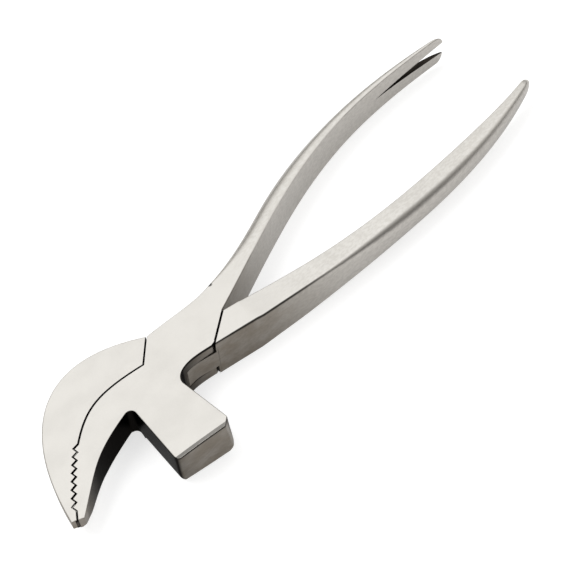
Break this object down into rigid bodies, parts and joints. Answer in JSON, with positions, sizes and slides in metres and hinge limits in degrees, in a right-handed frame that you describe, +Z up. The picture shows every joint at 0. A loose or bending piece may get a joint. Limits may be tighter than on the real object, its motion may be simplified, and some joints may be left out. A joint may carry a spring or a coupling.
{
  "type": "lasting pliers",
  "caption": "Shoemaker's lasting pliers with curved stair-toothed jaws, a square hammer below a flush box joint, and two long bowed handles, one ending in a forked claw.",
  "frame": {"origin": "on the pivot axis, in the plane of the face the tool lies on", "axes": "+X towards the handles' ends, midway between them; +Y towards the claw handle; +Z up through the head's thickness. The jaws reach to -X and the hammer to -Y"},
  "size_m": [0.2269, 0.0555, 0.0146],
  "materials": {
    "steel": "ground satin, bead-blasted matte on the head's faces",
    "pin_steel": "ground flush"
  },
  "bodies": {
    "hammer_body": {"hammer_half": "steel", "pivot_pin": "pin_steel"},
    "tongue_body": {"tongue_half": "steel"}
  },
  "joints": [
    {"name": "jaw_pivot", "type": "hinge", "parent": "hammer_body", "child": "tongue_body", "pos_m": [0, 0, 0.0073], "axis": [0, 0, -1], "range_deg": [0, 28]}
  ]
}
